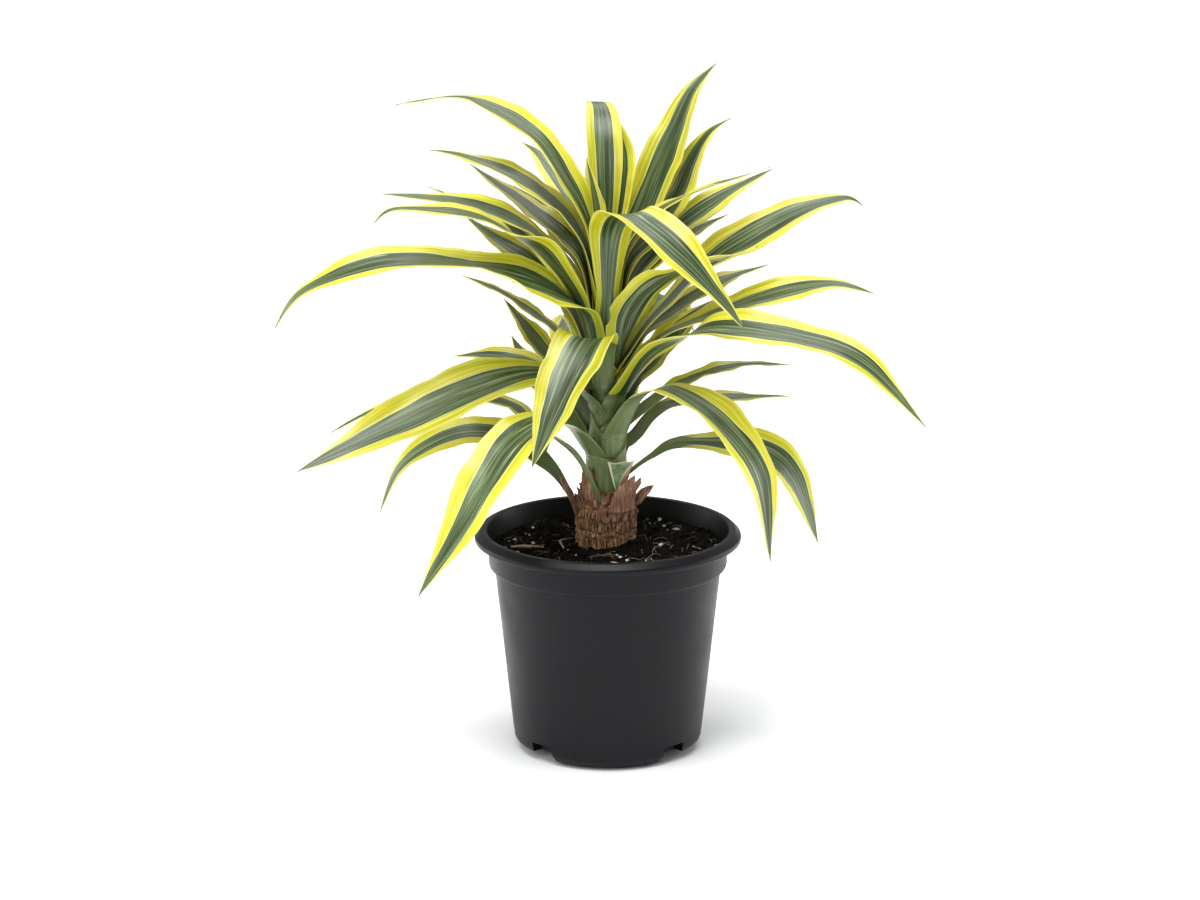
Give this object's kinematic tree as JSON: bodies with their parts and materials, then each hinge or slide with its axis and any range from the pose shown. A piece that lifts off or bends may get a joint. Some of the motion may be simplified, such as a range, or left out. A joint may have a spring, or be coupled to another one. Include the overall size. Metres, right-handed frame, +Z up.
{
  "type": "potted corn plant",
  "caption": "Young corn plant with waved, yellow-edged strap leaves on a sheathed green stem and brown cane, in a round black nursery pot filled with peat.",
  "frame": {"origin": "middle of the pot's underside, on the surface it stands on", "axes": "+Z up along the pot's axis, +X to the right and -Y towards the viewer of the picture"},
  "size_m": [0.4017, 0.2483, 0.4283],
  "materials": {
    "black_plastic": "satin black, finely moulded",
    "peat": "moist, dark, crumbly, with pale perlite grains and root fibres",
    "cane": "dry, brown, ringed with fibrous leaf scars",
    "sheath": "smooth green leaf sheaths with brown upper edges",
    "leaf": "satin, grey-green middle with dark streaks and wide lemon-yellow margins",
    "dry_husk": "papery brown remains of old leaf bases"
  },
  "bodies": {
    "root": {"pot": "black_plastic", "soil": "peat", "trunk": "cane", "stem": "sheath", "leaf_01": "leaf", "leaf_02": "leaf", "leaf_03": "leaf", "leaf_04": "leaf", "leaf_05": "leaf", "leaf_06": "leaf", "leaf_07": "leaf", "leaf_08": "leaf", "leaf_09": "leaf", "leaf_10": "leaf", "leaf_11": "leaf", "leaf_12": "leaf", "leaf_13": "leaf", "leaf_14": "leaf", "leaf_15": "leaf", "leaf_16": "leaf", "leaf_17": "leaf", "leaf_18": "leaf", "leaf_19": "leaf", "leaf_20": "leaf", "leaf_21": "leaf", "leaf_22": "leaf", "leaf_23": "leaf", "leaf_24": "leaf", "leaf_25": "leaf", "leaf_26": "leaf", "leaf_27": "leaf", "leaf_28": "leaf", "leaf_29": "leaf", "leaf_30": "leaf", "leaf_31": "leaf", "leaf_32": "leaf", "leaf_33": "leaf", "leaf_34": "leaf", "leaf_35": "leaf", "leaf_36": "leaf", "leaf_37": "leaf", "leaf_38": "leaf", "leaf_39": "leaf", "leaf_40": "leaf", "leaf_41": "leaf", "leaf_42": "leaf", "leaf_43": "leaf", "leaf_44": "leaf", "leaf_45": "leaf", "leaf_46": "leaf", "leaf_stub": "sheath", "husk_front": "dry_husk", "husk_left": "dry_husk", "husk_right": "dry_husk"}
  },
  "joints": []
}
